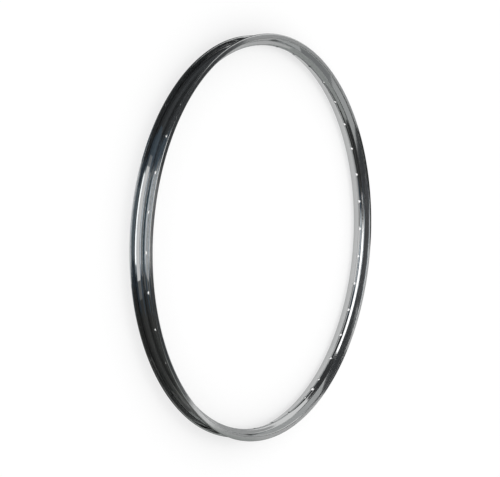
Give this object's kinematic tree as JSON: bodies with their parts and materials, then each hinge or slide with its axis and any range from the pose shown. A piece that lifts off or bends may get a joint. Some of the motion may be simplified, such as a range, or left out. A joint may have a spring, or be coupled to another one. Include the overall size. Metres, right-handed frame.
{
  "type": "bicycle rim",
  "caption": "Chrome-plated steel bicycle rim: a rolled drop-centre hoop with folded flanges, radial spoke holes in its well and one valve hole, for a 26-inch tyre.",
  "frame": {"origin": "centre of the wheel, halfway between the two sides of the rim", "axes": "+Z along the wheel's axis, up from the side that the rim lies on; +X through the valve hole"},
  "size_m": [0.572, 0.572, 0.031],
  "materials": {
    "chromed_steel": "bright chrome plate on polished steel strip"
  },
  "bodies": {
    "root": {"rim": "chromed_steel"}
  },
  "joints": []
}
